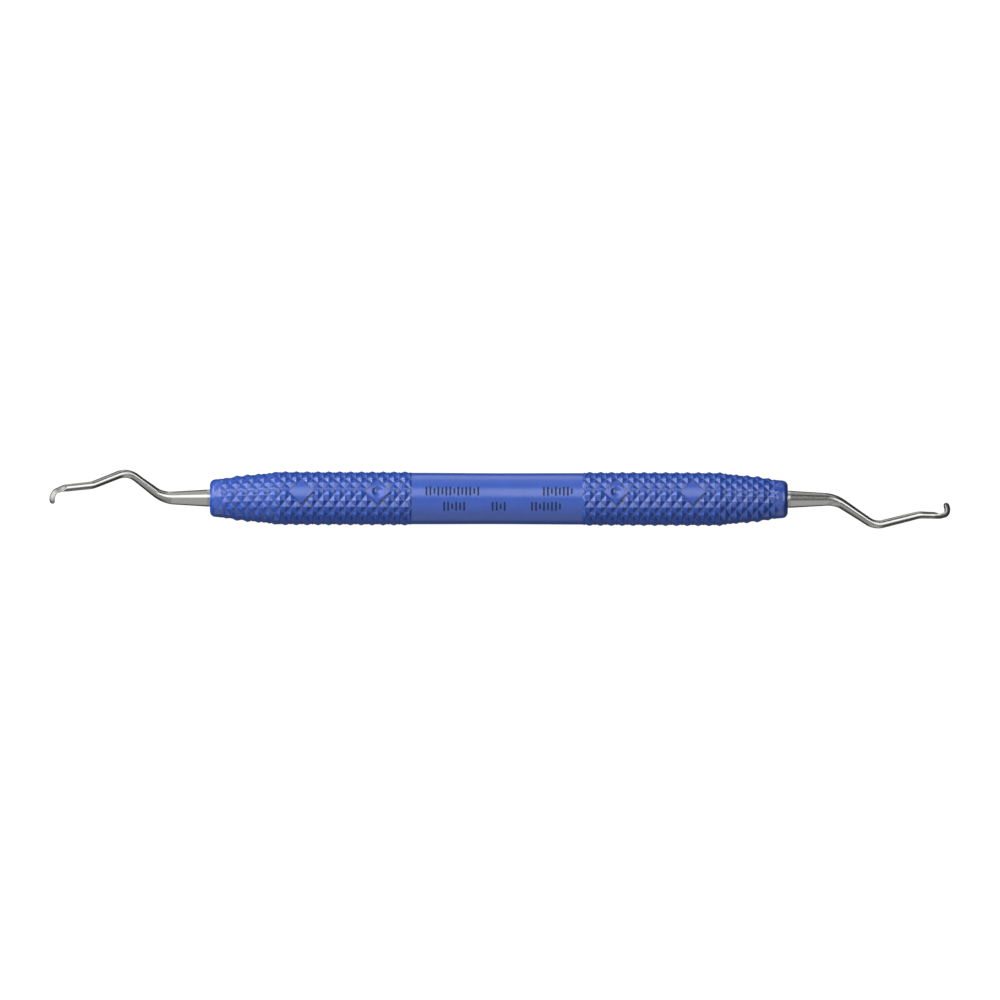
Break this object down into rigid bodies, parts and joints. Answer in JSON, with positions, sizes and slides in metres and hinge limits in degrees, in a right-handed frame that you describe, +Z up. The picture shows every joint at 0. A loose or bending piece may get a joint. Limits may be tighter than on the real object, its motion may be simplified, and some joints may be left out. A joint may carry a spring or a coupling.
{
  "type": "hand scaler",
  "caption": "Double-ended dental hand scaler: bent round steel tips with small curved blades, bonded into a textured resin handle with a bare middle band.",
  "frame": {"origin": "on the handle's axis at the middle of the bare band", "axes": "+X along the handle toward the right tip, +Y the side that the left tip rises to, +Z up, the side that carries the marking and the pads"},
  "size_m": [0.1672, 0.0106, 0.0106],
  "materials": {
    "core_resin": "semi-gloss moulded resin, royal blue",
    "grip_resin": "semi-gloss moulded resin with pyramid texture, royal blue",
    "tip_steel": "polished stainless with a fine lengthwise grain",
    "tip_adhesive": "cured clear amber adhesive",
    "marking_ink": "dark infill, level with the band"
  },
  "bodies": {
    "root": {"handle_core": "core_resin", "left_grip": "grip_resin", "right_grip": "grip_resin", "left_tip": "tip_steel", "right_tip": "tip_steel", "left_bond": "tip_adhesive", "right_bond": "tip_adhesive", "marking": "marking_ink"}
  },
  "joints": []
}
